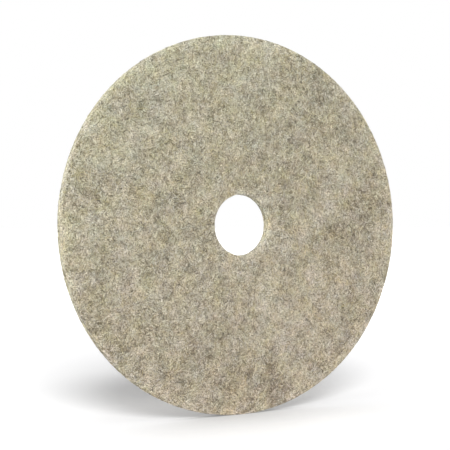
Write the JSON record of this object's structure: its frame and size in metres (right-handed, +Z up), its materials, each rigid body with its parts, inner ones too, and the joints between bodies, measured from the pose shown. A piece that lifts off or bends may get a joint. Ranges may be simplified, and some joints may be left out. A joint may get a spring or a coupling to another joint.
{
  "type": "felt polishing pad",
  "caption": "Round felted pad of natural hair and synthetic fibre with a centre hole, turned flat on a floor by a pad driver to burnish and polish it.",
  "frame": {"origin": "centre of the bore, halfway through the pad's thickness", "axes": "+Y along the bore, from the front face to the back face; the front face looks along -Y; +Z up with the pad standing on edge"},
  "size_m": [0.5079, 0.014, 0.508],
  "materials": {
    "hair_felt": "matte",
    "core_felt": "matte"
  },
  "bodies": {
    "root": {"front_face_ply": "hair_felt", "core_ply_1": "core_felt", "core_ply_2": "core_felt", "core_ply_3": "core_felt", "core_ply_4": "core_felt", "core_ply_5": "core_felt", "core_ply_6": "core_felt", "back_face_ply": "hair_felt"}
  },
  "joints": []
}
